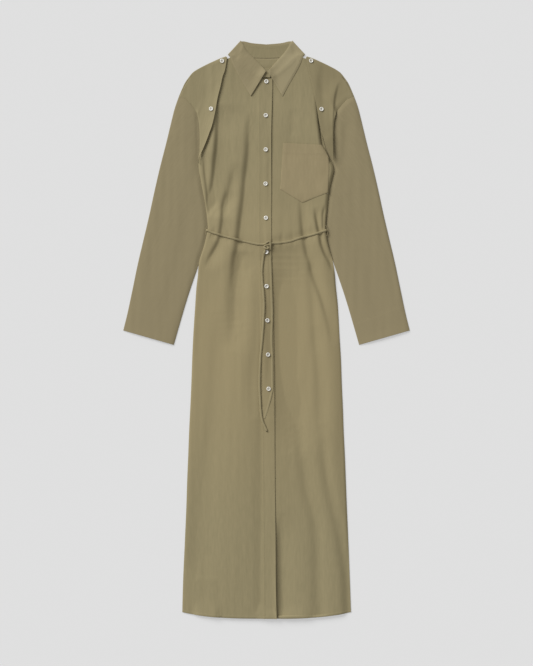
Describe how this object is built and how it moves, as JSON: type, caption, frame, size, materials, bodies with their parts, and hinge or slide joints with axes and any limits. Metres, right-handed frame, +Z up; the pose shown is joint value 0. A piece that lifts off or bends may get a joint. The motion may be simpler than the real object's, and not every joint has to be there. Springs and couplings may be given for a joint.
{
  "type": "shirt dress",
  "caption": "Long-sleeved shirt dress laid flat, with a pointed collar, a buttoned front strip, buttoned shoulder panels, a chest pocket and a tie belt.",
  "frame": {"origin": "bottom centre of the dress's box: on the floor, midway between its sides and between its hem and collar", "axes": "+Z up, away from the floor the dress lies on; +Y from the hem to the collar; +X towards the wearer's left, which is the viewer's right"},
  "size_m": [0.688, 1.386, 0.0197],
  "materials": {
    "cloth": "matt plain-woven cotton, olive khaki, slightly crinkled",
    "belt_cloth": "narrow sewn tube of the dress's cotton, and the thread of its loops",
    "shell_button": "polished white shell with four holes"
  },
  "bodies": {
    "root": {"back": "cloth", "front_right": "cloth", "front_left": "cloth", "placket": "cloth", "pocket": "cloth", "collar_stand": "cloth", "collar": "cloth", "shoulder_panel_right": "cloth", "shoulder_panel_left": "cloth", "sleeve_right": "cloth", "sleeve_left": "cloth", "belt_waist": "belt_cloth", "belt_knot": "belt_cloth", "belt_tail_long": "belt_cloth", "belt_tail_short": "belt_cloth", "belt_loop_right": "belt_cloth", "belt_loop_left": "belt_cloth", "button_front_01": "shell_button", "button_front_02": "shell_button", "button_front_03": "shell_button", "button_front_04": "shell_button", "button_front_05": "shell_button", "button_front_06": "shell_button", "button_front_07": "shell_button", "button_front_08": "shell_button", "button_front_09": "shell_button", "button_front_10": "shell_button", "button_panel_right_neck": "shell_button", "button_panel_right_chest": "shell_button", "button_panel_left_neck": "shell_button", "button_panel_left_chest": "shell_button"}
  },
  "joints": []
}
